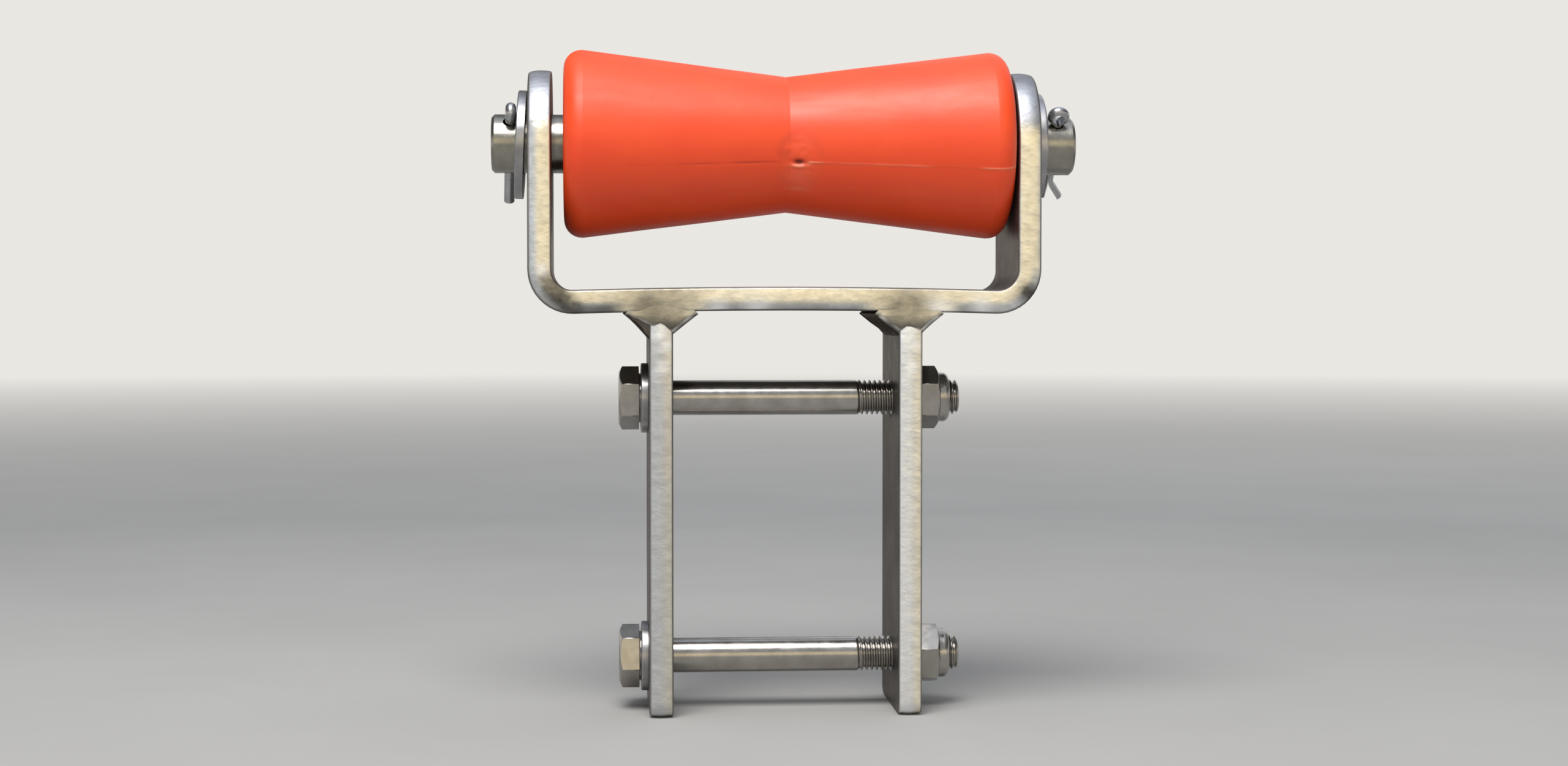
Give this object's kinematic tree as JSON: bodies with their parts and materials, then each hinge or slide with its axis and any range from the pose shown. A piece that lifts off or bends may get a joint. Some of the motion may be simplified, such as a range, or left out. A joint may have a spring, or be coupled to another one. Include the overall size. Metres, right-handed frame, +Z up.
{
  "type": "boat trailer roller",
  "caption": "Waisted orange keel roller on a plain axle in a bent flat-bar cradle, welded to posts that clamp over a trailer's drawbar tube.",
  "frame": {"origin": "on the plane of the posts' feet, midway between the posts and between their edges", "axes": "+X along the axle towards the nuts, +Y to the rear, away from the split pins' eyes, +Z up, from the feet to the roller"},
  "size_m": [0.2, 0.064, 0.226],
  "materials": {
    "roller_polyurethane": "semi-gloss, waxy, moulded",
    "bar_steel": "satin, mottled, with brighter cut edges",
    "weld_steel": "dressed weld, dull with bright ground patches",
    "axle_steel": "polished",
    "washer_steel": "bright, lightly scuffed",
    "pin_steel": "dull drawn wire",
    "bolt_steel": "bright",
    "nut_ring_plastic": "plain nylon"
  },
  "bodies": {
    "bracket": {"cradle_bracket": "bar_steel", "left_side_plate": "bar_steel", "right_side_plate": "bar_steel", "left_outer_weld": "weld_steel", "left_inner_weld": "weld_steel", "right_inner_weld": "weld_steel", "right_outer_weld": "weld_steel", "upper_clamp_bolt": "bolt_steel", "upper_head_washer": "washer_steel", "upper_lock_nut": "bolt_steel", "upper_nut_insert": "nut_ring_plastic", "lower_clamp_bolt": "bolt_steel", "lower_head_washer": "washer_steel", "lower_lock_nut": "bolt_steel", "lower_nut_insert": "nut_ring_plastic"},
    "axle": {"axle_shaft": "axle_steel", "left_axle_washer": "washer_steel", "right_axle_washer": "washer_steel", "left_split_pin": "pin_steel", "right_split_pin": "pin_steel"},
    "roller": {"keel_roller": "roller_polyurethane"}
  },
  "joints": [
    {"name": "axle_turn", "type": "hinge", "parent": "bracket", "child": "axle", "pos_m": [0, 0, 0.194], "axis": [1, 0, 0], "continuous": true},
    {"name": "roller_spin", "type": "hinge", "parent": "axle", "child": "roller", "pos_m": [0, 0, 0.194], "axis": [1, 0, 0], "continuous": true}
  ]
}
